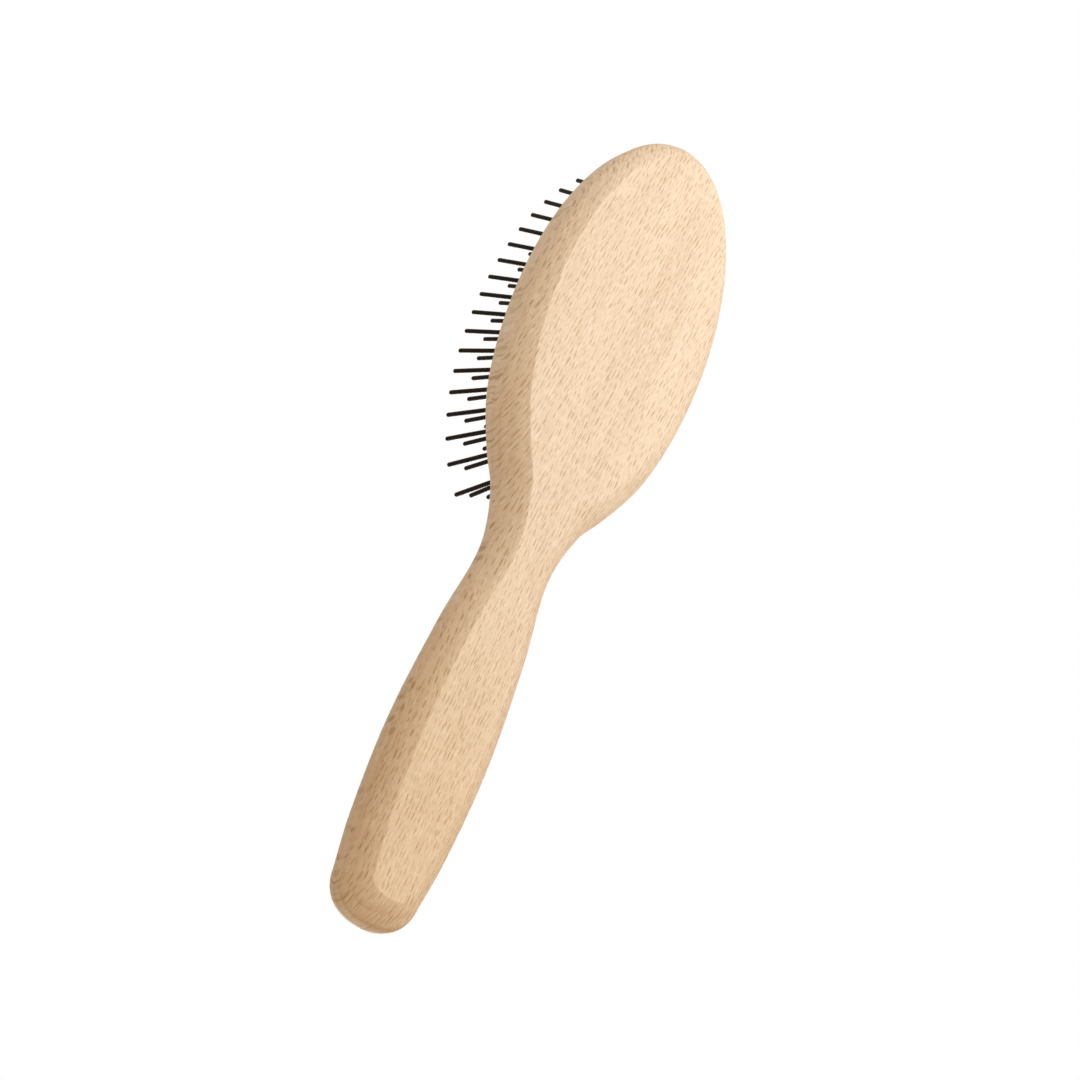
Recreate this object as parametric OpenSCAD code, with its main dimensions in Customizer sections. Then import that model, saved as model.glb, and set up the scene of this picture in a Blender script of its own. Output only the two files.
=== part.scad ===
// Oval air-cushion pin brush for pets, lying on its flat back with its pins up.
// X runs from the end of the handle to the nose of the head, Y runs across, and Z runs up.
// The origin is on the flat back, under the middle of the whole brush.

/* [Wooden body] */
// Length of the body from the end of the handle to the nose
body_len = 223.6; // [218:0.2:230]
// Width of the flat back at the widest part of the head
back_w = 45.6; // [44:0.2:48]
// Width of the flat back at the neck
neck_w = 8.6; // [8:0.2:12]
// Width of the flat back at the thickest part of the handle
grip_w = 17; // [14:0.5:20]
// Width of the flat back at the end of the handle
tail_w = 11; // [9:0.5:13]
// Thickness of the head
head_t = 12.9; // [12.5:0.1:14]
// Thickness of the handle
grip_t = 15.4; // [14.4:0.1:17]
// Width of the rounded edge between the flat back and the side wall
edge_out = 5.1; // [4.7:0.1:5.4]
// Height of that rounded edge
edge_up = 6.4; // [5.9:0.1:6.8]
// Slope at which that edge leaves the flat back, in degrees
crease_angle = 30; // [26:1:34]

/* [Cushion] */
// Length of the oval opening that holds the cushion
pocket_len = 105; // [102:0.5:105]
// Width of the oval opening that holds the cushion
pocket_w = 45.2; // [43:0.2:46]
// Depth of the air space under the cushion's rim
pocket_depth = 7.4; // [7:0.1:8]
// Height of the cushion's crown above the front of the head
crown = 6; // [5.5:0.1:6.5]
// Thickness of the rubber
rubber_t = 1.5; // [1.2:0.1:1.6]

/* [Pins] */
// Diameter of a pin
pin_d = 1.2; // [1:0.1:1.4]
// Length of a pin that stands out of the rubber
pin_out = 19.2; // [16:0.2:22]
// Distance between neighbouring lines of pins, measured across the head
line_gap = 5.3; // [5:0.1:5.6]
// Distance between neighbouring ranks of pins, measured along the head
rank_gap = 5.05; // [4.9:0.05:5.1]
// Distance from the outer line of pins to the edge of the opening
border = 3.8; // [3.4:0.1:4]
// Slope that a pin gains towards the side for each millimetre off the middle
splay_across = 0.0207; // [0.018:0.0001:0.022]
// Slope that a pin gains along the head for each millimetre from the upright rank
splay_along = 0.0071; // [0.005:0.0001:0.0075]

/* [Hidden] */
rank_count = 19;
RANKS = [for (i = [1 : rank_count]) str("pin_rank_", i < 10 ? "0" : "", i)];

beech = [0.93, 0.81, 0.67];
dark_rubber = [0.13, 0.10, 0.09];
dark_lacquer = [0.10, 0.06, 0.04];

// Outline of the flat back. The nose is half an ellipse, and a smooth curve runs from it to the tail.
nose_edge = 0.92;
nose_x = body_len / 2 - nose_edge * edge_out;
tail_corner_r = 2.2;
tail_bulge = 1.2;
// The rounded edge is drawn out along the body at the end of the handle.
tail_stretch = 1.3;
tail_x = -body_len / 2 + tail_stretch * edge_out + tail_bulge;
head_x = 56.8;
nose_len = nose_x - head_x;
// How much of the extra width each row of the outline below holds
grip_share = 0.68;
waist_share = 0.62;
head_shares = [0.33, 0.56, 0.80, 0.95];
// Each row holds a place along the body and half the width of the back there.
half_widths = [
    [tail_x, tail_w / 2],
    [-88.2, tail_w / 2 + grip_share * (grip_w - tail_w) / 2],
    [-63.2, grip_w / 2],
    [-36.2, neck_w / 2 + waist_share * (grip_w - neck_w) / 2],
    [-14.2, neck_w / 2],
    [2.8, head_shares[0] * back_w / 2],
    [12.8, head_shares[1] * back_w / 2],
    [24.8, head_shares[2] * back_w / 2],
    [39.8, head_shares[3] * back_w / 2],
    [head_x, back_w / 2]
];
last_row = len(half_widths) - 1;
// Each row holds a place, the rounded edge's size as a share, the thickness and the front edge's radius.
sections = [
    [tail_x, 1, grip_t, 7.5],
    [-69.2, 1.06, grip_t, 8.5],
    [-39.2, 1.02, grip_t - 0.3, 8.5],
    [-13.2, 1.08, head_t - 0.3, 6.5],
    [14.8, 1.18, head_t - 0.2, 3.4],
    [40.8, 1.03, head_t, 3],
    [80.8, nose_edge, head_t, 3],
    [nose_x, nose_edge, head_t, 3]
];

outline_steps = 46;
nose_steps = 18;
arc_steps = 3;
round_steps = 6;

// The rounded edge is two arcs that meet at this slope: a slow one next to the back and a fast one into the wall.
meet_angle = 52;
slow_out = sin(meet_angle) - sin(crease_angle);
slow_up = cos(crease_angle) - cos(meet_angle);
fast_out = 1 - sin(meet_angle);
fast_up = cos(meet_angle);
arc_share = slow_out * fast_up - fast_out * slow_up;
slow_r = (edge_out * fast_up - edge_up * fast_out) / arc_share;
fast_r = (edge_up * slow_out - edge_out * slow_up) / arc_share;

// The oval dome is part of a ring surface: one radius along the head and one across it.
pocket_x = 54.4;
dome_rx = (pow(pocket_len / 2, 2) + pow(crown, 2)) / (2 * crown);
dome_ry = (pow(pocket_w / 2, 2) + pow(crown, 2)) / (2 * crown);
dome_axis_z = head_t + crown - dome_rx;
oval_sides = 72;
skirt_gap = 0.12;
skirt_len = 4.2;
bead_out = 1.1;
bead_h = 1.6;
vent_r = 0.8;

pin_line_a = pocket_len / 2 - border;
pin_line_b = pocket_w / 2 - border;
stagger = rank_gap / 2;
pin_head_r = 1.35;
pin_head_h = 0.6;
pin_slack = 0.1;
pin_head_gap = 0.35;
// Place along the body at which the pins stand upright
upright_x = 35.5;
// A rank has a pin on the middle line where its inner pins are further out than this many line gaps.
middle_room = 1.75;
end_inset = 0.3;

// Value at x on the smooth curve through rows of [x, value], where the slope at each row follows its neighbours
function slope(rows, i, k) =
    let (a = max(i - 1, 0), b = min(i + 1, len(rows) - 1))
    (rows[b][k] - rows[a][k]) / (rows[b][0] - rows[a][0]);
function row_before(rows, x, i = 0) =
    i >= len(rows) - 2 || x < rows[i + 1][0] ? i : row_before(rows, x, i + 1);
function smooth_at(rows, x, k, flat_end = false) =
    let (
        i = row_before(rows, x),
        w = rows[i + 1][0] - rows[i][0],
        t = (x - rows[i][0]) / w,
        m0 = slope(rows, i, k) * w,
        m1 = (flat_end && i == len(rows) - 2 ? 0 : slope(rows, i + 1, k)) * w
    )
    (2 * pow(t, 3) - 3 * pow(t, 2) + 1) * rows[i][k] + (pow(t, 3) - 2 * pow(t, 2) + t) * m0
        + (3 * pow(t, 2) - 2 * pow(t, 3)) * rows[i + 1][k] + (pow(t, 3) - pow(t, 2)) * m1;
function half_width(x) = smooth_at(half_widths, x, 1, true);

// Half of the back's outline, from the middle of the tail to the nose
tail_half = tail_w / 2;
side_start = tail_x + tail_corner_r;
half_outline = concat(
    [[tail_x - tail_bulge, 0], [tail_x - 0.7 * tail_bulge, 0.5 * tail_half]],
    [for (a = [0 : 22.5 : 90])
        [side_start - tail_corner_r * cos(a), half_width(side_start) - tail_corner_r * (1 - sin(a))]],
    [for (i = [1 : outline_steps])
        let (x = side_start + (head_x - side_start) * i / outline_steps) [x, half_width(x)]],
    [for (i = [1 : nose_steps])
        let (a = 90 * i / nose_steps) [head_x + nose_len * sin(a), back_w / 2 * cos(a)]]
);
half_count = len(half_outline);
ring_count = 2 * half_count - 2;
function outline_point(i) =
    let (j = (i + ring_count) % ring_count)
    j < half_count ? half_outline[j] : let (p = half_outline[ring_count - j]) [p[0], -p[1]];
function outward(i) =
    let (t = outline_point(i + 1) - outline_point(i - 1), n = [-t[1], t[0]]) n / norm(n);

// One section of the body's side, as [distance out from the flat back's outline, height]
function side_profile(x) =
    let (
        place = min(max(x, tail_x), nose_x),
        share = smooth_at(sections, place, 1),
        t = smooth_at(sections, place, 2),
        f = smooth_at(sections, place, 3),
        out = share * edge_out,
        up = share * edge_up,
        slow_step = (meet_angle - crease_angle) / arc_steps,
        fast_step = (90 - meet_angle) / arc_steps
    )
    concat(
        [for (i = [0 : arc_steps])
            let (a = crease_angle + i * slow_step)
            share * slow_r * [sin(a) - sin(crease_angle), cos(crease_angle) - cos(a)]],
        [for (i = [1 : arc_steps])
            let (a = meet_angle + i * fast_step)
            [out - share * fast_r * (1 - sin(a)), up - share * fast_r * cos(a)]],
        [for (i = [0 : round_steps])
            let (a = 90 * i / round_steps)
            [out - f * (1 - cos(a)), t - min(f, t - up) * (1 - sin(a))]]
    );
level_count = len(side_profile(0));

body_points = [
    for (level = [0 : level_count - 1])
    for (i = [0 : ring_count - 1])
        let (
            p = outline_point(i),
            s = side_profile(p[0])[level],
            n = outward(i),
            k = p[0] < side_start ? tail_stretch : 1
        )
        [p[0] + k * n[0] * s[0], p[1] + n[1] * s[0], s[1]]
];
body_sides = [
    for (level = [0 : level_count - 2])
    for (i = [0 : ring_count - 1])
        let (j = (i + 1) % ring_count, a = level * ring_count, b = a + ring_count)
        each [[a + i, b + i, b + j], [a + i, b + j, a + j]]
];
top_start = (level_count - 1) * ring_count;
// The flat back and the front are strips across the body, from each outline point to its mirror image.
body_strips = [
    for (i = [0 : half_count - 2])
        let (a = i, b = i + 1, c = (ring_count - i) % ring_count, d = ring_count - i - 1)
        each concat(i > 0 ? [[a, b, c]] : [], i < half_count - 2 ? [[b, d, c]] : [])
];
body_front = [for (f = body_strips) [top_start + f[0], top_start + f[2], top_start + f[1]]];

module wooden_blank() {
    polyhedron(points = body_points, faces = concat(body_strips, body_sides, body_front));
}

// Straight-sided oval with its middle over the origin, grown or shrunk by a distance
module oval_prism(grow, bottom, top) {
    a = pocket_len / 2 + grow;
    b = pocket_w / 2 + grow;
    translate([0, 0, bottom])
        linear_extrude(top - bottom)
            polygon([for (i = [0 : oval_sides - 1])
                let (t = (i + 0.5) * 360 / oval_sides) [a * cos(t), b * sin(t)]]);
}

// Solid under the dome's surface, which lies a distance below the outer one
module dome_ring(below) {
    tube_r = dome_ry - below;
    tube_x = dome_rx - dome_ry;
    translate([0, 0, dome_axis_z])
        rotate([90, 0, 0])
            rotate_extrude($fn = 180)
                intersection() {
                    translate([tube_x, 0]) circle(r = tube_r, $fn = 180);
                    translate([tube_x + dome_ry / 2, -dome_ry]) square([dome_ry, 2 * dome_ry]);
                }
}

module wooden_body() {
    groove_z = head_t - skirt_len - bead_h;
    color(beech)
        difference() {
            wooden_blank();
            translate([pocket_x, 0, 0]) {
                oval_prism(0, head_t - pocket_depth, head_t + 1);
                oval_prism(bead_out + skirt_gap, groove_z - skirt_gap, groove_z + bead_h + skirt_gap);
            }
        }
}

// Places its children on the dome at x and y from the middle of the cushion, leaning the way a pin does there.
module on_dome(x, y) {
    ring_r = dome_rx - dome_ry + sqrt(pow(dome_ry, 2) - y * y);
    pitch = atan(splay_along * (pocket_x + x - upright_x));
    roll = atan(splay_across * y * cos(pitch));
    translate([pocket_x + x, y, dome_axis_z + sqrt(ring_r * ring_r - x * x)])
        rotate([0, pitch, 0])
            rotate([-roll, 0, 0])
                children();
}

// Half the width of the outer line of pins at x from the middle of the cushion
function line_half_width(x) = pin_line_b * sqrt(max(0, 1 - pow(x / pin_line_a, 2)));
// Every second line of pins at x, counted in from the outer line or from the one inside it
function lines_at(x, first) =
    [for (y = line_half_width(x) - first * line_gap; y > line_gap / 2; y = y - 2 * line_gap) y];
function half_rank(x, first) =
    let (ys = lines_at(x, first), inner = len(ys) == 0 ? 0 : ys[len(ys) - 1])
    concat([for (y = ys) each [[x, y], [x, -y]]], inner > middle_room * line_gap ? [[x, 0]] : []);
function rank_x(i) = (i - (rank_count + 1) / 2) * rank_gap;
end_pin_x = pin_line_a - end_inset;
// The pins of rank i, from 1 at the neck to rank_count at the nose
function rank_pins(i) = concat(
    half_rank(rank_x(i), 0),
    i < rank_count ? half_rank(rank_x(i) + stagger, 1) : [],
    i == rank_count ? [[end_pin_x, 0]] : []
);

module pin() {
    under = rubber_t + pin_head_gap;
    translate([0, 0, -under - pin_head_h]) {
        cylinder(r = pin_head_r, h = pin_head_h, $fn = 32);
        cylinder(d = pin_d, h = under + pin_head_h + pin_out - pin_d / 2, $fn = 32);
    }
    translate([0, 0, pin_out - pin_d / 2]) sphere(d = pin_d, $fn = 32);
}

module hole_through_rubber(r) {
    translate([0, 0, -2 * rubber_t]) cylinder(r = r, h = 4 * rubber_t, $fn = 32);
}

module rubber_cushion() {
    bead_top = head_t - skirt_len;
    color(dark_rubber)
        difference() {
            translate([pocket_x, 0, 0]) {
                difference() {
                    union() {
                        intersection() {
                            dome_ring(0);
                            oval_prism(-skirt_gap, head_t - 1, head_t + crown + 1);
                        }
                        oval_prism(-skirt_gap, bead_top, head_t - 1);
                        oval_prism(bead_out, bead_top - bead_h, bead_top);
                    }
                    intersection() {
                        dome_ring(rubber_t);
                        oval_prism(-skirt_gap - rubber_t, bead_top - bead_h - 1, head_t + crown + 1);
                    }
                }
            }
            for (i = [1 : rank_count])
                for (p = rank_pins(i))
                    on_dome(p[0], p[1]) hole_through_rubber(pin_d / 2 + pin_slack);
            on_dome(0, 0) hole_through_rubber(vent_r);
        }
}

module pin_rank(i) {
    color(dark_lacquer)
        for (p = rank_pins(i))
            on_dome(p[0], p[1]) pin();
}

wooden_body();
rubber_cushion();
for (i = [1 : rank_count])
    pin_rank(i);
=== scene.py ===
"""Looks of the oval air-cushion pin brush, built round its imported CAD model. Metres, in the CAD frame."""

import math

import bmesh
import bpy
import numpy as np
from mathutils import Matrix, Vector
from mathutils.geometry import delaunay_2d_cdt


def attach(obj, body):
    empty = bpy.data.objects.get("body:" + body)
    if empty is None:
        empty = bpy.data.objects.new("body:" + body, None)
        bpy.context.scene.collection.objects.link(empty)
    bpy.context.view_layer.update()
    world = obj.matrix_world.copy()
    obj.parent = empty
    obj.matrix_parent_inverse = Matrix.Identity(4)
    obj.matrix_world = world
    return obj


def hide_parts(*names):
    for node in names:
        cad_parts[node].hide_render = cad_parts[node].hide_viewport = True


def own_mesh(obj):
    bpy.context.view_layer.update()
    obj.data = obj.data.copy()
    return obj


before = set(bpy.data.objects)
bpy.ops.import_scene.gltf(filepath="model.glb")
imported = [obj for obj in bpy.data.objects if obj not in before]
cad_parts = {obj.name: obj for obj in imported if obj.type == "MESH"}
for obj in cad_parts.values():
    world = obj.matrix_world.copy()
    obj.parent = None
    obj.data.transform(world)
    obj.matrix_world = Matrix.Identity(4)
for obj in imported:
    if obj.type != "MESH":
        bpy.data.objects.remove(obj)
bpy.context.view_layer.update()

# ---------------------------------------- sizes of the wooden body, from the CAD source
BODY_LEN = 0.2236
BACK_HALF = 0.0228
NECK_HALF = 0.0043
GRIP_HALF = 0.0085
TAIL_HALF = 0.0055
HEAD_T = 0.0129
GRIP_T = 0.0154
EDGE_OUT = 0.0051
EDGE_UP = 0.0064
CREASE = math.radians(30)
MEET = math.radians(52)
NOSE_EDGE = 0.92
NOSE_X = BODY_LEN / 2 - NOSE_EDGE * EDGE_OUT
TAIL_CORNER = 0.0022
TAIL_BULGE = 0.0012
TAIL_STRETCH = 1.3
TAIL_SQUARENESS = 2.35
TAIL_X = -BODY_LEN / 2 + TAIL_STRETCH * EDGE_OUT + TAIL_BULGE
HEAD_X = 0.0568
# Each row holds a place along the body and half the width of the flat back there.
HALF_WIDTHS = [
    (TAIL_X, TAIL_HALF),
    (-0.0882, TAIL_HALF + 0.68 * (GRIP_HALF - TAIL_HALF)),
    (-0.0632, GRIP_HALF),
    (-0.0362, NECK_HALF + 0.62 * (GRIP_HALF - NECK_HALF)),
    (-0.0142, NECK_HALF),
    (0.0028, 0.33 * BACK_HALF),
    (0.0128, 0.56 * BACK_HALF),
    (0.0248, 0.80 * BACK_HALF),
    (0.0398, 0.95 * BACK_HALF),
    (HEAD_X, BACK_HALF),
]
# Each row holds a place, the rounded edge's size as a share, the thickness and the front edge's radius.
SECTIONS = [
    (TAIL_X, 1, GRIP_T, 0.0075),
    (-0.0692, 1.06, GRIP_T, 0.0085),
    (-0.0392, 1.02, GRIP_T - 0.0003, 0.0085),
    (-0.0132, 1.08, HEAD_T - 0.0003, 0.0065),
    (0.0148, 1.18, HEAD_T - 0.0002, 0.0034),
    (0.0408, 1.03, HEAD_T, 0.003),
    (0.0808, NOSE_EDGE, HEAD_T, 0.003),
    (NOSE_X, NOSE_EDGE, HEAD_T, 0.003),
]
# The rounded edge is two arcs that meet at MEET: a slow one next to the back and a fast one into the wall.
SLOW_OUT = math.sin(MEET) - math.sin(CREASE)
SLOW_UP = math.cos(CREASE) - math.cos(MEET)
FAST_OUT = 1 - math.sin(MEET)
FAST_UP = math.cos(MEET)
ARC_SHARE = SLOW_OUT * FAST_UP - FAST_OUT * SLOW_UP
SLOW_R = (EDGE_OUT * FAST_UP - EDGE_UP * FAST_OUT) / ARC_SHARE
FAST_R = (EDGE_UP * SLOW_OUT - EDGE_OUT * SLOW_UP) / ARC_SHARE
# The crease is eased over this distance on both sides. The flat back has a ring this far inside it.
CREASE_SOFT = 0.00016
BACK_INSET = 0.0012
RIM_R = 0.0005

# ---------------------------------------- sizes of the cushion and the pins, from the CAD source
POCKET_X = 0.0544
POCKET_A = 0.0525
POCKET_B = 0.0226
POCKET_FLOOR = HEAD_T - 0.0074
CROWN = 0.006
RUBBER_T = 0.0015
SKIRT_GAP = 0.00012
BEAD_TOP = HEAD_T - 0.0042
BEAD_H = 0.0016
BEAD_OUT = 0.0011
VENT_R = 0.0008
DOME_RX = (POCKET_A**2 + CROWN**2) / (2 * CROWN)
DOME_RY = (POCKET_B**2 + CROWN**2) / (2 * CROWN)
DOME_AXIS_Z = HEAD_T + CROWN - DOME_RX
PIN_R = 0.0006
PIN_OUT = 0.0192
PIN_HEAD_R = 0.00135
PIN_HEAD_H = 0.0006
PIN_HEAD_GAP = 0.00035
PIN_UNDER = RUBBER_T + PIN_HEAD_GAP
LINE_GAP = 0.0053
RANK_GAP = 0.00505
RANK_COUNT = 19
BORDER = 0.0038
PIN_A = POCKET_A - BORDER
PIN_B = POCKET_B - BORDER
END_INSET = 0.0003
END_PIN_X = PIN_A - END_INSET
# A rank has a pin on the middle line where its inner pins are further out than this many line gaps.
MIDDLE_ROOM = 1.75
# Slope that a pin gains for each metre off the middle line, and for each metre from UPRIGHT_X
SPLAY_ACROSS = 20.7
SPLAY_ALONG = 7.1
UPRIGHT_X = 0.0355


def slope(rows, i, k):
    """Slope at row i of column k, from the rows on both sides."""
    a, b = max(i - 1, 0), min(i + 1, len(rows) - 1)
    return (rows[b][k] - rows[a][k]) / (rows[b][0] - rows[a][0])


def smooth_at(rows, x, k, flat_end=False):
    """Value at x on the smooth curve through column k of the rows."""
    i = max([j for j in range(len(rows) - 1) if rows[j][0] <= x], default=0)
    w = rows[i + 1][0] - rows[i][0]
    t = (x - rows[i][0]) / w
    m0 = slope(rows, i, k) * w
    m1 = 0 if flat_end and i == len(rows) - 2 else slope(rows, i + 1, k) * w
    a, b = rows[i][k], rows[i + 1][k]
    from_a = (2 * t**3 - 3 * t**2 + 1) * a + (t**3 - 2 * t**2 + t) * m0
    from_b = (3 * t**2 - 2 * t**3) * b + (t**3 - t**2) * m1
    return from_a + from_b


def half_outline():
    """Half of the flat back's outline, from the middle of the tail to the nose."""
    start = TAIL_X + TAIL_CORNER
    reach = TAIL_CORNER + TAIL_BULGE
    width = smooth_at(HALF_WIDTHS, start, 1)
    power = 2 / TAIL_SQUARENESS
    points = []
    for a in np.radians(np.linspace(0, 88, 26)):
        points.append((start - reach * math.cos(a) ** power, width * math.sin(a) ** power))
    for x in np.linspace(start, HEAD_X, 170)[:-1]:
        points.append((x, smooth_at(HALF_WIDTHS, x, 1, True)))
    for a in np.radians(np.linspace(0, 90, 70)):
        points.append((HEAD_X + (NOSE_X - HEAD_X) * math.sin(a), BACK_HALF * math.cos(a)))
    points[-1] = (NOSE_X, 0.0)
    return points


def side_profile(x):
    """One section of the body's side, as (distance out from the flat back's outline, height)."""
    place = min(max(x, TAIL_X), NOSE_X)
    share = smooth_at(SECTIONS, place, 1)
    t = smooth_at(SECTIONS, place, 2)
    f = smooth_at(SECTIONS, place, 3)
    soft = CREASE_SOFT
    profile = [(-BACK_INSET, 0), (-2 * soft, 0), (-soft, 0)]
    # A short curve eases the crease, and the two arcs and the front's edge follow it.
    for u in (0.25, 0.5, 0.75, 1):
        eased = u * u * soft
        profile.append((eased * math.cos(CREASE) - soft * (1 - u) ** 2, eased * math.sin(CREASE)))
    out, up = share * EDGE_OUT, share * EDGE_UP
    slow, fast = share * SLOW_R, share * FAST_R
    for a in np.linspace(CREASE, MEET, 12)[1:]:
        run, rise = math.sin(a) - math.sin(CREASE), math.cos(CREASE) - math.cos(a)
        profile.append((slow * run, slow * rise))
    for a in np.linspace(MEET, math.pi / 2, 10)[1:]:
        profile.append((out - fast * (1 - math.sin(a)), up - fast * math.cos(a)))
    for a in np.linspace(0, math.pi / 2, 16)[1:]:
        profile.append((out - f * (1 - math.cos(a)), t - min(f, t - up) * (1 - math.sin(a))))
    return profile


def oval_angles(count):
    """Angles of an oval's points, with none on its axes."""
    return (np.arange(count) + 0.5) * 2 * math.pi / count


def oval(grow, count):
    """Points of the cushion's oval, grown by a distance."""
    a, b = POCKET_A + grow, POCKET_B + grow
    return [(POCKET_X + a * math.cos(t), b * math.sin(t)) for t in oval_angles(count)]


def oval_ring(grow, count, z):
    """The same points at one height."""
    return [(x, y, z) for x, y in oval(grow, count)]


def add_ring(bm, points):
    return [bm.verts.new(p) for p in points]


def bridge(bm, low, high):
    """Quads between two rings of as many points."""
    for i in range(len(low)):
        j = (i + 1) % len(low)
        bm.faces.new((low[i], low[j], high[j], high[i]))


def strips(bm, ring):
    """Fills a ring that is its own mirror image in y with strips across it."""
    n = len(ring)
    half = n // 2
    for i in range(half):
        quad = [ring[i], ring[i + 1], ring[(n - i - 1) % n], ring[(n - i) % n]]
        quad = [v for k, v in enumerate(quad) if v not in quad[:k]]
        bm.faces.new(quad)


def finish_mesh(bm, name, sharp_deg, material):
    """A smooth-shaded object from a bmesh, with edges over an angle kept sharp."""
    bmesh.ops.remove_doubles(bm, verts=bm.verts, dist=1e-7)
    bmesh.ops.recalc_face_normals(bm, faces=bm.faces)
    mesh = bpy.data.meshes.new(name)
    bm.to_mesh(mesh)
    bm.free()
    mesh.polygons.foreach_set("use_smooth", [True] * len(mesh.polygons))
    mesh.set_sharp_from_angle(angle=math.radians(sharp_deg))
    mesh.materials.append(material)
    obj = bpy.data.objects.new(name, mesh)
    bpy.context.scene.collection.objects.link(obj)
    return obj


def front_height(x):
    """Thickness of the body, which is the height of its front."""
    return smooth_at(SECTIONS, min(max(x, TAIL_X), NOSE_X), 2)


def make_body(material):
    """The wooden body: back, rounded sides, front with its opening, and the air space under the cushion."""
    half = half_outline()
    loop = half + [(x, -y) for x, y in half[-2:0:-1]]
    count = len(loop)
    bm = bmesh.new()
    levels = []
    profiles = {x: side_profile(x) for x, _ in loop}
    normals = []
    for i in range(count):
        tx = loop[(i + 1) % count][0] - loop[i - 1][0]
        ty = loop[(i + 1) % count][1] - loop[i - 1][1]
        size = math.hypot(tx, ty)
        normals.append((-ty / size, tx / size))
    for level in range(len(side_profile(0))):
        ring = []
        for (x, y), (nx, ny) in zip(loop, normals):
            out, z = profiles[x][level]
            stretch = TAIL_STRETCH if x < TAIL_X + TAIL_CORNER and out > 0 else 1
            ring.append((x + stretch * nx * out, y + ny * out, z))
        levels.append(add_ring(bm, ring))
    strips(bm, levels[0])
    for low, high in zip(levels, levels[1:]):
        bridge(bm, low, high)
    # The front is flat across, with the oval opening left out of it.
    sides = 288
    outer = [v.co.xy.copy() for v in levels[-1]]
    hole = [Vector(p) for p in oval(RIM_R, sides)]
    edges = [(i, (i + 1) % count) for i in range(count)]
    edges += [(count + i, count + (i + 1) % sides) for i in range(sides)]
    filled, tolerance = 1, 1e-9
    flat, _, faces, *_ = delaunay_2d_cdt(outer + hole, edges, [list(range(count))], filled, tolerance)
    placed = [bm.verts.new((p.x, p.y, front_height(p.x))) for p in flat]
    for f in faces:
        middle = sum((flat[i] for i in f), Vector((0, 0))) / len(f)
        along, across = (middle.x - POCKET_X) / (POCKET_A + RIM_R), middle.y / (POCKET_B + RIM_R)
        if along**2 + across**2 >= 1:
            bm.faces.new([placed[i] for i in f])
    bm.verts.ensure_lookup_table()
    bmesh.ops.delete(bm, geom=[v for v in placed if not v.link_faces], context="VERTS")
    # The opening's rounded rim, straight wall, groove for the bead, and floor
    wall = []
    for a in np.linspace(0, math.pi / 2, 6):
        grow, drop = RIM_R * (1 - math.sin(a)), RIM_R * (1 - math.cos(a))
        wall.append([(x, y, front_height(x) - drop) for x, y in oval(grow, sides)])
    groove = BEAD_OUT + SKIRT_GAP
    low, high = BEAD_TOP - BEAD_H - SKIRT_GAP, BEAD_TOP + SKIRT_GAP
    for grow, z in ((0, high), (groove, high), (groove, low), (0, low), (0, POCKET_FLOOR)):
        wall.append(oval_ring(grow, sides, z))
    rings = [add_ring(bm, ring) for ring in wall]
    for a, b in zip(rings, rings[1:]):
        bridge(bm, a, b)
    bm.faces.new(rings[-1])
    body = finish_mesh(bm, "beech_body", 35, material)
    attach(body, "handle_body")
    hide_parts("wooden_body")
    return body


def dome_height(x, y):
    """Height of the rubber's outer surface at x and y from the cushion's middle."""
    k = DOME_RX - DOME_RY + math.sqrt(DOME_RY**2 - y * y)
    return DOME_AXIS_Z + math.sqrt(k * k - x * x)


def on_dome(x, y):
    """Matrix that stands on the dome at x and y from the cushion's middle, with Z along a pin there."""
    pitch = math.atan(SPLAY_ALONG * (POCKET_X + x - UPRIGHT_X))
    roll = math.atan(SPLAY_ACROSS * y * math.cos(pitch))
    place = Matrix.Translation((POCKET_X + x, y, dome_height(x, y)))
    return place @ Matrix.Rotation(pitch, 4, "Y") @ Matrix.Rotation(-roll, 4, "X")


def half_rank(x, first):
    """Places of every second pin across the head at x, from the outer line or the one inside it inwards."""
    if abs(x) >= PIN_A:
        return []
    y = PIN_B * math.sqrt(1 - (x / PIN_A) ** 2) - first * LINE_GAP
    places, inner = [], 0
    while y > LINE_GAP / 2:
        places += [(x, y), (x, -y)]
        inner = y
        y -= 2 * LINE_GAP
    return places + ([(x, 0)] if inner > MIDDLE_ROOM * LINE_GAP else [])


def rank_pins(i):
    """Places of the pins of rank i, from 1 at the neck to RANK_COUNT at the nose."""
    x = (i - (RANK_COUNT + 1) / 2) * RANK_GAP
    places = half_rank(x, 0)
    if i < RANK_COUNT:
        places += half_rank(x + RANK_GAP / 2, 1)
    if i == RANK_COUNT:
        places.append((END_PIN_X, 0))
    return places


def lathe(bm, profile, matrix, sides, caps=(True, True)):
    """Turns (radius, height) points round the matrix's Z axis."""
    rings = []
    angles = [2 * math.pi * k / sides for k in range(sides)]
    for r, z in profile:
        circle = [Vector((r * math.cos(a), r * math.sin(a), z)) for a in angles]
        rings.append(add_ring(bm, [matrix @ p for p in circle]))
    for a, b in zip(rings, rings[1:]):
        bridge(bm, a, b)
    if caps[0]:
        bm.faces.new(rings[0][::-1])
    if caps[1]:
        bm.faces.new(rings[-1])


# The cushion's shoulder is this wide, and its drop is a share of that. The vent's lip is rounded.
SHOULDER = 0.0011
SHOULDER_DROP = 0.55
LIP_DROP = 0.00025
LIP_SHARE = 0.004
# The rubber stands up a little round each pin: (distance from the pin's axis, height over the dome).
COLLAR = [
    (0.0015, -0.0001),
    (0.00125, 0.00004),
    (0.00105, 0.00016),
    (0.00088, 0.00028),
    (0.00077, 0.00028),
    (0.00074, -0.0001),
]


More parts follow.
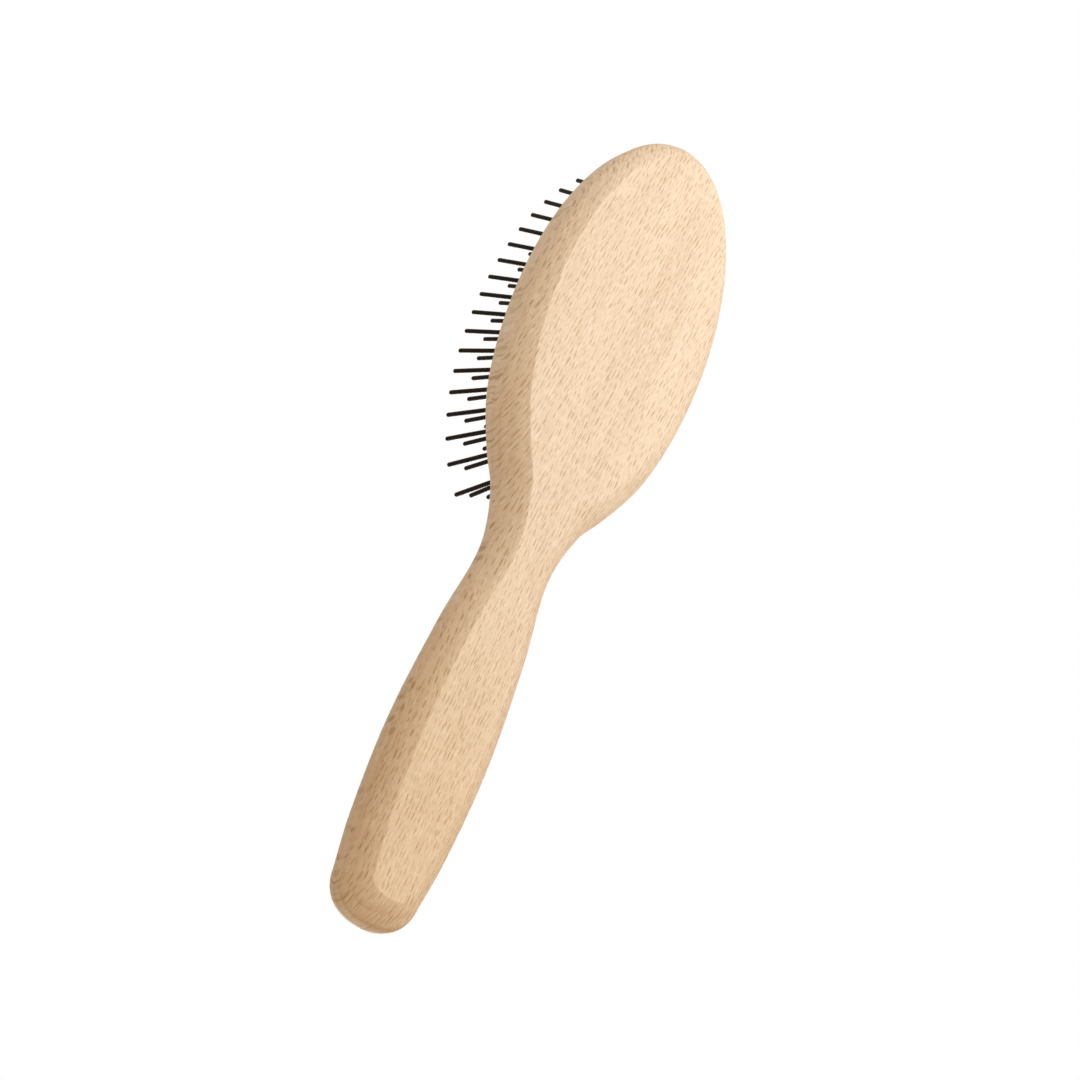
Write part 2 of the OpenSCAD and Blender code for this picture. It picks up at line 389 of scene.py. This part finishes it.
def make_cushion(material):
    """The rubber cushion: a domed sheet with a shoulder, skirt, bead, vent and a collar at each pin."""
    sides = 240
    edge_a, edge_b = POCKET_A - SKIRT_GAP, POCKET_B - SKIRT_GAP
    bm = bmesh.new()

    def sheet_ring(share, inset, drop):
        """A ring of the dome, from the vent at share 0 to the edge, less an inset, at share 1."""
        ring = []
        for a in oval_angles(sides):
            x = (VENT_R + (edge_a - inset - VENT_R) * share) * math.cos(a)
            y = (VENT_R + (edge_b - inset - VENT_R) * share) * math.sin(a)
            ring.append((POCKET_X + x, y, dome_height(x, y) - drop))
        return ring

    rings = [sheet_ring(0, SHOULDER, RUBBER_T), sheet_ring(0, SHOULDER, LIP_DROP)]
    rings.append(sheet_ring(LIP_SHARE, SHOULDER, 0))
    rings += [sheet_ring(s, SHOULDER, 0) for s in np.linspace(0.03, 1, 36)]
    for a in np.linspace(0, math.pi / 2, 7)[1:]:
        inset, drop = SHOULDER * (1 - math.sin(a)), SHOULDER_DROP * SHOULDER * (1 - math.cos(a))
        rings.append(sheet_ring(1, inset, drop))
    for grow, z in ((-SKIRT_GAP, BEAD_TOP), (BEAD_OUT, BEAD_TOP), (BEAD_OUT, BEAD_TOP - BEAD_H)):
        rings.append(oval_ring(grow, sides, z))
    for z in (BEAD_TOP - BEAD_H, BEAD_TOP):
        rings.append(oval_ring(-SKIRT_GAP - RUBBER_T, sides, z))
    rings += [sheet_ring(s, RUBBER_T, RUBBER_T) for s in np.linspace(1, 0.1, 12)]
    made = [add_ring(bm, ring) for ring in rings]
    for a, b in zip(made, made[1:]):
        bridge(bm, a, b)
    bridge(bm, made[-1], made[0])
    for i in range(1, RANK_COUNT + 1):
        for x, y in rank_pins(i):
            lathe(bm, COLLAR, on_dome(x, y), 20, (False, False))
    cushion = finish_mesh(bm, "air_cushion", 40, material)
    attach(cushion, "handle_body")
    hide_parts("rubber_cushion")
    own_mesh(cushion)
    return cushion


def make_rank(i, material):
    """One rank of pins across the head, each with its flat head and round tip."""
    bm = bmesh.new()
    sides = 24
    under = -PIN_UNDER
    profile = [(PIN_HEAD_R, under - PIN_HEAD_H), (PIN_HEAD_R, under), (PIN_R, under)]
    profile += [(PIN_R, z) for z in (0.0, 0.006, 0.012)]
    for a in np.radians(range(0, 90, 15)):
        profile.append((PIN_R * math.cos(a), PIN_OUT - PIN_R + PIN_R * math.sin(a)))
    for x, y in rank_pins(i):
        place = on_dome(x, y)
        lathe(bm, profile, place, sides, (True, False))
        tip = bm.verts.new(place @ Vector((0, 0, PIN_OUT)))
        ring = bm.verts[:][-1 - sides : -1]
        for k in range(sides):
            bm.faces.new((ring[k], ring[(k + 1) % sides], tip))
    rank = finish_mesh(bm, f"pins_rank_{i:02d}", 40, material)
    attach(rank, f"pins_{i:02d}")
    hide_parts(f"pin_rank_{i:02d}")
    return rank


# ---------------------------------------- materials
class Shader:
    """A node material, with short calls for the nodes that it is made of."""

    def __init__(self, name):
        self.material = bpy.data.materials.new(name)
        self.material.use_nodes = True
        self.tree = self.material.node_tree
        self.tree.nodes.clear()
        self.bsdf = self.add("ShaderNodeBsdfPrincipled")
        output = self.add("ShaderNodeOutputMaterial")
        self.tree.links.new(self.bsdf.outputs["BSDF"], output.inputs["Surface"])

    def add(self, kind, **settings):
        node = self.tree.nodes.new(kind)
        for key, value in settings.items():
            setattr(node, key, value)
        return node

    def put(self, socket, value):
        """Sets a socket to a plain value, or links it from another socket."""
        if isinstance(value, bpy.types.NodeSocket):
            self.tree.links.new(value, socket)
        else:
            socket.default_value = value

    def math(self, operation, *values, clamp=False):
        node = self.add("ShaderNodeMath", operation=operation, use_clamp=clamp)
        for socket, value in zip(node.inputs, values):
            self.put(socket, value)
        return node.outputs[0]

    def vector(self, operation, *values):
        node = self.add("ShaderNodeVectorMath", operation=operation)
        for socket, value in zip(node.inputs, values):
            self.put(socket, value)
        return node.outputs["Value" if operation in ("LENGTH", "DOT_PRODUCT") else "Vector"]

    def steps(self, value, low, high, to_low=0.0, to_high=1.0):
        """A smooth step from one value to another."""
        node = self.add("ShaderNodeMapRange", interpolation_type="SMOOTHSTEP")
        for socket, v in zip(node.inputs, (value, low, high, to_low, to_high)):
            self.put(socket, v)
        return node.outputs["Result"]

    def noise(self, vector, scale, detail=2.0, roughness=0.5):
        node = self.add("ShaderNodeTexNoise")
        self.put(node.inputs["Vector"], vector)
        node.inputs["Scale"].default_value = scale
        node.inputs["Detail"].default_value = detail
        node.inputs["Roughness"].default_value = roughness
        return node.outputs["Fac"]

    def mix(self, amount, a, b, blend="MIX"):
        node = self.add("ShaderNodeMix", data_type="RGBA", blend_type=blend)
        self.put(node.inputs["Factor"], amount)
        self.put(node.inputs[6], a)
        self.put(node.inputs[7], b)
        return node.outputs[2]

    def split(self, vector):
        node = self.add("ShaderNodeSeparateXYZ")
        self.put(node.inputs[0], vector)
        return node.outputs

    def join(self, x, y, z):
        node = self.add("ShaderNodeCombineXYZ")
        for socket, value in zip(node.inputs, (x, y, z)):
            self.put(socket, value)
        return node.outputs[0]

    def bump(self, height, distance, strength=1.0):
        node = self.add("ShaderNodeBump")
        node.inputs["Strength"].default_value = strength
        node.inputs["Distance"].default_value = distance
        self.put(node.inputs["Height"], height)
        self.put(self.bsdf.inputs["Normal"], node.outputs["Normal"])


def rays(s, place, cell, size, seed):
    """Thin upright sheets that run along the grain, one in each cell of this size in millimetres.

    Gives how much of a sheet is at this place, and the sheet's own random numbers.
    """
    cells = s.vector("ADD", s.vector("DIVIDE", place, cell), (seed, seed * 0.7, seed * 1.3))
    voronoi = s.add("ShaderNodeTexVoronoi", voronoi_dimensions="3D", feature="F1")
    s.put(voronoi.inputs["Vector"], cells)
    voronoi.inputs["Scale"].default_value = 1.0
    voronoi.inputs["Randomness"].default_value = 0.72
    away = s.vector("SUBTRACT", cells, voronoi.outputs["Position"])
    stretch = tuple(c / d for c, d in zip(cell, size))
    reach = s.vector("LENGTH", s.vector("MULTIPLY", away, stretch))
    chance = s.split(voronoi.outputs["Color"])
    grown = s.math("DIVIDE", reach, s.math("MULTIPLY_ADD", chance[1], 0.7, 0.6))
    return s.steps(grown, 0.45, 1.0, 1.0, 0.0), chance


def beech_material():
    """Plain-sawn beech: pale, with fine dark ray dashes along the grain, faint rings and soft bands, and
    painted shade on the side walls.
    """
    s = Shader("beech_wood")
    coords = s.add("ShaderNodeTexCoord")
    mm = s.vector("MULTIPLY", coords.outputs["Object"], (1000.0, 1000.0, 1000.0))
    x, y, z = s.split(mm)[:3]
    facing = s.split(coords.outputs["Normal"])
    end_on, side_on = s.math("ABSOLUTE", facing[0]), s.math("ABSOLUTE", facing[1])
    # The grain leans to one side towards the head, and it wanders a little.
    along = s.math("MAXIMUM", s.math("ADD", x, 45.0), 0.0)
    lean = s.math("MULTIPLY", s.math("POWER", along, 1.5), 0.0052)
    across = s.math("SUBTRACT", s.math("SUBTRACT", y, lean), s.math("MULTIPLY", x, 0.02))
    drift = s.noise(s.vector("MULTIPLY", mm, (0.05, 0.2, 0.2)), 1.0, 1.0)
    wander = s.math("MULTIPLY", s.math("SUBTRACT", drift, 0.5), 1.6)
    grain = s.join(x, s.math("ADD", across, wander), z)

    dark, dark_chance = rays(s, grain, (2.9, 1.05, 6.0), (1.55, 0.22, 6.0), 3.1)
    fine, fine_chance = rays(s, grain, (2.5, 0.8, 4.0), (1.2, 0.16, 4.0), 11.7)
    light, light_chance = rays(s, grain, (3.0, 1.0, 5.0), (1.7, 0.3, 4.0), 23.9)

    # Growth rings lie nearly parallel to the back, so they are long loops there and lines on the sides.
    hills = s.noise(s.vector("MULTIPLY", mm, (0.012, 0.045, 0.0)), 1.0, 1.0)
    swell = s.math("MULTIPLY", s.math("SUBTRACT", hills, 0.5), 6.0)
    bowl = s.math("MULTIPLY", s.math("POWER", s.math("ABSOLUTE", across), 2.0), 0.0035)
    ring = s.math("FRACT", s.math("DIVIDE", s.math("ADD", s.math("ADD", z, swell), bowl), 2.6))
    late = s.math("MULTIPLY", s.steps(ring, 0.45, 0.93), s.steps(ring, 0.93, 1.0, 1.0, 0.0))

    fibre = s.noise(s.vector("MULTIPLY", grain, (0.16, 2.6, 2.6)), 1.0, 3.0, 0.6)
    bands = s.noise(s.vector("MULTIPLY", grain, (0.018, 0.16, 0.16)), 1.0, 2.0, 0.5)
    cloud = s.noise(s.vector("MULTIPLY", mm, (0.03, 0.06, 0.06)), 1.0, 2.0, 0.5)

    pale, warm = (0.86, 0.675, 0.49, 1), (0.83, 0.635, 0.45, 1)
    colour = s.mix(s.steps(bands, 0.35, 0.7), pale, warm)
    colour = s.mix(s.math("MULTIPLY", s.steps(cloud, 0.4, 0.7), 0.3), colour, (0.80, 0.60, 0.43, 1))
    colour = s.mix(s.math("MULTIPLY", s.steps(fibre, 0.35, 0.75), 0.25), colour, (0.66, 0.47, 0.31, 1))
    ring_depth = s.math("MULTIPLY_ADD", s.steps(end_on, 0.3, 0.8), 0.25, 0.13)
    colour = s.mix(s.math("MULTIPLY", late, ring_depth), colour, (0.55, 0.36, 0.21, 1))
    lit = s.math("MULTIPLY", light, s.math("MULTIPLY_ADD", light_chance[0], 0.35, 0.15))
    colour = s.mix(lit, colour, (0.95, 0.80, 0.64, 1))
    shown = s.math("MULTIPLY", fine, s.math("MULTIPLY_ADD", fine_chance[0], 0.25, 0.1))
    colour = s.mix(shown, colour, (0.50, 0.31, 0.17, 1))
    shown = s.math("MULTIPLY", dark, s.math("MULTIPLY_ADD", dark_chance[0], 0.45, 0.3))
    colour = s.mix(shown, colour, (0.50, 0.305, 0.155, 1))
    # The ends are cut across the grain, so the wood looks darker and warmer there.
    ends = s.math("MULTIPLY", s.steps(end_on, 0.25, 0.9), 0.55)
    colour = s.mix(ends, colour, (0.86, 0.78, 0.68, 1), "MULTIPLY")
    # Painted shade: the side walls are made darker and warmer the more they face sideways, partly also for
    # the obliquely cut grain.
    sides = s.math("MULTIPLY", s.steps(side_on, 0.3, 0.95), 0.8)
    colour = s.mix(sides, colour, (0.93, 0.90, 0.86, 1), "MULTIPLY")
    # The colour turns a little darker and warmer towards the handle, and the handle's side walls get more
    # painted shade.
    handle = s.steps(x, 10.0, -100.0)
    colour = s.mix(handle, colour, (0.95, 0.91, 0.83, 1), "MULTIPLY")
    # Painted shade on the handle's side walls, on top of the general handle tone.
    handle_side_painted_shade = s.math("MULTIPLY", s.steps(x, 20.0, -40.0), sides)
    colour = s.mix(handle_side_painted_shade, colour, (0.90, 0.86, 0.83, 1), "MULTIPLY")
    s.put(s.bsdf.inputs["Base Color"], colour)
    s.put(s.bsdf.inputs["Roughness"], s.math("MULTIPLY_ADD", fibre, 0.12, 0.52))
    s.bsdf.inputs["Specular IOR Level"].default_value = 0.25
    height = s.math("SUBTRACT", s.math("MULTIPLY", fibre, 0.5), s.math("MULTIPLY", dark, 0.6))
    s.bump(height, 0.00004, 0.6)
    return s.material


def rubber_material():
    """Matt black rubber with a fine moulded texture and a little chalky bloom."""
    s = Shader("black_rubber")
    coords = s.add("ShaderNodeTexCoord").outputs["Object"]
    bloom = s.noise(s.vector("MULTIPLY", coords, (1000.0, 1000.0, 1000.0)), 0.12, 4.0, 0.6)
    grit = s.noise(coords, 2600.0, 2.0, 0.6)
    black, chalky = (0.018, 0.016, 0.015, 1), (0.036, 0.033, 0.031, 1)
    s.put(s.bsdf.inputs["Base Color"], s.mix(s.steps(bloom, 0.4, 0.75), black, chalky))
    s.put(s.bsdf.inputs["Roughness"], s.math("MULTIPLY_ADD", bloom, 0.2, 0.5))
    s.bump(grit, 0.00003, 0.5)
    return s.material


def pin_material():
    """Steel pins under a dark brown, nearly black lacquer."""
    s = Shader("dark_lacquer")
    coords = s.add("ShaderNodeTexCoord").outputs["Object"]
    tone = s.noise(coords, 900.0, 2.0, 0.5)
    dark, brown = (0.0035, 0.0014, 0.0010, 1), (0.010, 0.0040, 0.0018, 1)
    s.put(s.bsdf.inputs["Base Color"], s.mix(tone, dark, brown))
    s.put(s.bsdf.inputs["Roughness"], s.math("MULTIPLY_ADD", tone, 0.15, 0.24))
    s.bsdf.inputs["Specular IOR Level"].default_value = 0.2
    s.bsdf.inputs["Specular Tint"].default_value = (1.0, 0.72, 0.42, 1)
    s.bump(tone, 0.00001, 0.3)
    return s.material


# ---------------------------------------- stage, lights and camera
def make_floor():
    """A pale floor that is seen from above only, because the photograph looks at the back from below it."""
    mesh = bpy.data.meshes.new("floor")
    reach, z = 1.6, -0.0002
    corners = [(-reach, -reach, z), (reach, -reach, z), (reach, reach, z), (-reach, reach, z)]
    mesh.from_pydata(corners, [], [(0, 1, 2, 3)])
    floor = bpy.data.objects.new("floor", mesh)
    bpy.context.scene.collection.objects.link(floor)
    s = Shader("pale_floor")
    s.bsdf.inputs["Base Color"].default_value = (0.80, 0.80, 0.79, 1)
    s.bsdf.inputs["Roughness"].default_value = 0.9
    s.bsdf.inputs["Specular IOR Level"].default_value = 0.1
    clear = s.add("ShaderNodeBsdfTransparent")
    mixed = s.add("ShaderNodeMixShader")
    s.put(mixed.inputs[0], s.add("ShaderNodeNewGeometry").outputs["Backfacing"])
    s.put(mixed.inputs[1], s.bsdf.outputs["BSDF"])
    s.put(mixed.inputs[2], clear.outputs[0])
    output = next(n for n in s.tree.nodes if n.type == "OUTPUT_MATERIAL")
    s.put(output.inputs["Surface"], mixed.outputs[0])
    mesh.materials.append(s.material)
    floor.visible_shadow = False
    floor.visible_diffuse = False
    floor.visible_glossy = False
    return floor


def make_light(name, place, target, size, power, colour):
    """A square soft light that faces a point."""
    light = bpy.data.lights.new(name, "AREA")
    light.shape = "SQUARE"
    light.size = size
    light.energy = power
    light.color = colour
    obj = bpy.data.objects.new(name, light)
    bpy.context.scene.collection.objects.link(obj)
    obj.location = place
    obj.rotation_mode = "QUATERNION"
    obj.rotation_quaternion = (Vector(target) - Vector(place)).to_track_quat("-Z", "Y")
    obj.visible_camera = False
    return obj


def make_world():
    """White to the camera. To everything else, a soft light, neutral from above and warm from below."""
    world = bpy.data.worlds.new("studio")
    bpy.context.scene.world = world
    world.use_nodes = True
    tree = world.node_tree
    tree.nodes.clear()
    path = tree.nodes.new("ShaderNodeLightPath")
    seen, lighting = tree.nodes.new("ShaderNodeBackground"), tree.nodes.new("ShaderNodeBackground")
    seen.inputs["Color"].default_value = (1, 1, 1, 1)
    height = tree.nodes.new("ShaderNodeSeparateXYZ")
    tree.links.new(tree.nodes.new("ShaderNodeTexCoord").outputs["Generated"], height.inputs[0])
    rise = tree.nodes.new("ShaderNodeMapRange")
    rise.interpolation_type = "SMOOTHSTEP"
    rise.inputs["From Min"].default_value = -0.1
    rise.inputs["From Max"].default_value = 0.35
    tree.links.new(height.outputs["Z"], rise.inputs["Value"])
    tint = tree.nodes.new("ShaderNodeMix")
    tint.data_type = "RGBA"
    tint.inputs[6].default_value = (0.68, 0.59, 0.475, 1)
    tint.inputs[7].default_value = (0.62, 0.61, 0.60, 1)
    tree.links.new(rise.outputs["Result"], tint.inputs["Factor"])
    tree.links.new(tint.outputs[2], lighting.inputs["Color"])
    mixed, output = tree.nodes.new("ShaderNodeMixShader"), tree.nodes.new("ShaderNodeOutputWorld")
    tree.links.new(path.outputs["Is Camera Ray"], mixed.inputs[0])
    tree.links.new(lighting.outputs[0], mixed.inputs[1])
    tree.links.new(seen.outputs[0], mixed.inputs[2])
    tree.links.new(mixed.outputs[0], output.inputs["Surface"])


# The camera's place and axes. It looks up at the flat back from beyond the handle.
CAMERA_PLACE = Vector((-0.3048, -0.2904, -0.5462))
CAMERA_RIGHT = Vector((0.3493, 0.7353, -0.5808))
CAMERA_UP = Vector((0.8315, -0.5290, -0.1696))
CAMERA_BACK = CAMERA_RIGHT.cross(CAMERA_UP).normalized()


def make_camera():
    """The photograph's own view of the brush."""
    data = bpy.data.cameras.new("camera")
    data.sensor_width = 36.0
    data.lens = 95.71
    data.clip_start = 0.01
    data.clip_end = 10.0
    camera = bpy.data.objects.new("camera", data)
    bpy.context.scene.collection.objects.link(camera)
    right = (CAMERA_RIGHT - CAMERA_BACK * CAMERA_RIGHT.dot(CAMERA_BACK)).normalized()
    up = CAMERA_BACK.cross(right)
    turn = Matrix((right, up, CAMERA_BACK)).transposed().to_4x4()
    camera.matrix_world = Matrix.Translation(CAMERA_PLACE) @ turn
    bpy.context.scene.camera = camera


def make_lights():
    """Each light: name, place, what it faces, width, power and colour. Two are below the back."""
    make_light("key_below", (0.26, 0.31, -0.41), (0.05, 0, 0), 0.3, 2.25, (0.80, 0.90, 1.0))
    make_light("fill_nose", (0.46, -0.15, -0.16), (0.09, 0, 0), 0.2, 0.5, (0.72, 0.86, 1.0))
    make_light("key_above", (0.15, 0.50, 0.85), (0, 0, 0), 0.5, 5.0, (1.0, 0.99, 0.97))
    make_light("fill_above", (-0.25, 0.30, 0.9), (0, 0, 0), 0.5, 1.5, (1.0, 0.98, 0.95))


make_camera()
make_world()
make_lights()
make_floor()
bpy.context.scene.view_settings.view_transform = "Standard"

make_body(beech_material())
make_cushion(rubber_material())
lacquer = pin_material()
for rank in range(1, RANK_COUNT + 1):
    make_rank(rank, lacquer)
